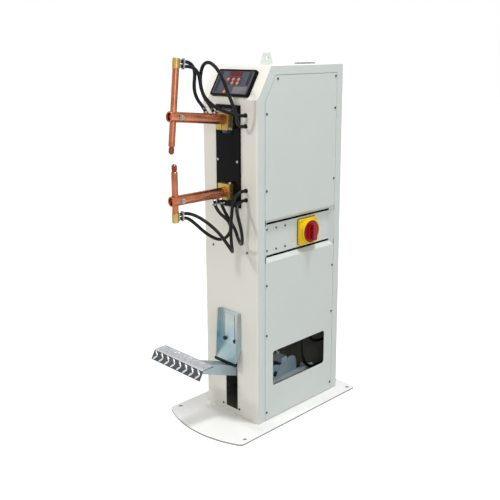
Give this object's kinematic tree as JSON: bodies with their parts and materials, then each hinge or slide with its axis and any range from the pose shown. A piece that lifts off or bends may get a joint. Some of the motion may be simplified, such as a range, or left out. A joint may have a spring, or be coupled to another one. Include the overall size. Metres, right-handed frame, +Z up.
{
  "type": "spot welder",
  "caption": "Floor-standing pedal spot welder: sheet cabinet with sloped console, two water-cooled copper arms that close on the work, foot pedal, rotary main switch and side covers.",
  "frame": {"origin": "centre of the four floor bolt holes, on the underside of the floor plate", "axes": "+Z up, -Y to the front where the arms and the pedal are, +X to the side with the main switch and the access window"},
  "size_m": [0.366, 0.7245, 1.245],
  "materials": {
    "painted_cream": "cream-white powder coat, fine texture",
    "painted_grey": "light grey powder coat",
    "painted_white": "white powder coat",
    "zinc_steel": "zinc plated, slightly bluish",
    "copper": "turned copper, satin, lightly tarnished",
    "brass": "cast and machined brass, satin",
    "insulating_black": "black fibre insulating sheet",
    "black_plastic": "moulded black plastic",
    "console_grey": "printed film on a plate, bare",
    "display_red": "dark red filter window",
    "key_orange": "translucent orange",
    "hose_rubber": "smooth black rubber hose",
    "edge_rubber": "black rubber edging",
    "alloy": "cast and machined aluminium",
    "switch_yellow": "yellow moulded plastic",
    "knob_red": "red moulded plastic",
    "dark_steel": "black oxidised steel"
  },
  "bodies": {
    "cabinet": {"base_plate": "painted_white", "lifting_lug": "painted_white", "cabinet_casing": "painted_cream", "upper_side_panel": "painted_grey", "lower_side_panel": "painted_grey", "switch_panel": "painted_grey", "left_panel": "painted_grey", "rear_panel": "painted_grey", "cover_screws": "zinc_steel", "front_screws": "zinc_steel", "lower_fittings": "zinc_steel", "pivot_bracket": "zinc_steel", "fulcrum_bracket": "zinc_steel", "stop_hood": "zinc_steel", "lower_arm": "copper", "lower_holder": "copper", "lower_tip": "copper", "transformer_coil": "copper", "lower_conductor": "copper", "flexible_shunt": "copper", "lower_clamp": "brass", "lower_cap": "brass", "pivot_bushes": "brass", "water_tails": "brass", "insulating_plate": "insulating_black", "control_bezel": "black_plastic", "hose_bushes": "black_plastic", "mains_gland": "black_plastic", "control_face": "console_grey", "display_window": "display_red", "upper_feed_hose": "hose_rubber", "upper_return_hose": "hose_rubber", "lower_feed_hose": "hose_rubber", "lower_link_hose": "hose_rubber", "lower_return_hose": "hose_rubber", "inner_hoses": "hose_rubber", "stop_rubber": "edge_rubber", "main_switch": "switch_yellow", "transformer_core": "dark_steel", "fulcrum_shaft": "dark_steel"},
    "pedal": {"pedal_lever": "zinc_steel", "pedal_tread": "zinc_steel"},
    "push_rod": {"push_rod": "zinc_steel", "pressure_spring": "dark_steel"},
    "upper_arm": {"rocker": "alloy", "upper_clamp": "brass", "upper_arm": "copper", "upper_holder": "copper", "upper_tip": "copper", "upper_cap": "brass", "upper_fittings": "zinc_steel", "pivot_shaft": "zinc_steel", "upper_link_hose": "hose_rubber"},
    "switch_knob": {"switch_knob": "knob_red"},
    "key_1": {"key_1": "key_orange"},
    "key_2": {"key_2": "key_orange"},
    "key_3": {"key_3": "key_orange"},
    "key_4": {"key_4": "key_orange"},
    "key_5": {"key_5": "key_orange"},
    "key_6": {"key_6": "key_orange"}
  },
  "joints": [
    {"name": "pedal_press", "type": "hinge", "parent": "cabinet", "child": "pedal", "pos_m": [0, 0.006, 0.106], "axis": [1, 0, 0], "range_deg": [0, 20.4], "stiffness_Nm_per_rad": 16, "springref_deg": -51.57},
    {"name": "rod_lift", "type": "slide", "parent": "cabinet", "child": "push_rod", "axis": [0, 0, 1], "range_m": [0, 0.0177]},
    {"name": "arm_swing", "type": "hinge", "parent": "cabinet", "child": "upper_arm", "pos_m": [0, -0.117, 1.03], "axis": [1, 0, 0], "range_deg": [0, 6], "deforming": ["upper_feed_hose", "upper_return_hose", "flexible_shunt"]},
    {"name": "switch_turn", "type": "hinge", "parent": "cabinet", "child": "switch_knob", "pos_m": [0.13, 0.079, 0.644], "axis": [1, 0, 0], "range_deg": [0, 90]},
    {"name": "key_1_press", "type": "slide", "parent": "cabinet", "child": "key_1", "axis": [0, 0.8589, -0.5121], "range_m": [0, 0.0006], "stiffness_N_per_m": 400, "springref_m": -0.001},
    {"name": "key_2_press", "type": "slide", "parent": "cabinet", "child": "key_2", "axis": [0, 0.8589, -0.5121], "range_m": [0, 0.0006], "stiffness_N_per_m": 400, "springref_m": -0.001},
    {"name": "key_3_press", "type": "slide", "parent": "cabinet", "child": "key_3", "axis": [0, 0.8589, -0.5121], "range_m": [0, 0.0006], "stiffness_N_per_m": 400, "springref_m": -0.001},
    {"name": "key_4_press", "type": "slide", "parent": "cabinet", "child": "key_4", "axis": [0, 0.8589, -0.5121], "range_m": [0, 0.0006], "stiffness_N_per_m": 400, "springref_m": -0.001},
    {"name": "key_5_press", "type": "slide", "parent": "cabinet", "child": "key_5", "axis": [0, 0.8589, -0.5121], "range_m": [0, 0.0006], "stiffness_N_per_m": 400, "springref_m": -0.001},
    {"name": "key_6_press", "type": "slide", "parent": "cabinet", "child": "key_6", "axis": [0, 0.8589, -0.5121], "range_m": [0, 0.0006], "stiffness_N_per_m": 400, "springref_m": -0.001}
  ],
  "couplings": [
    {"joint": "rod_lift", "follows": "pedal_press", "m_per_rad": 0.0497},
    {"joint": "arm_swing", "follows": "pedal_press", "ratio": 0.28846}
  ]
}
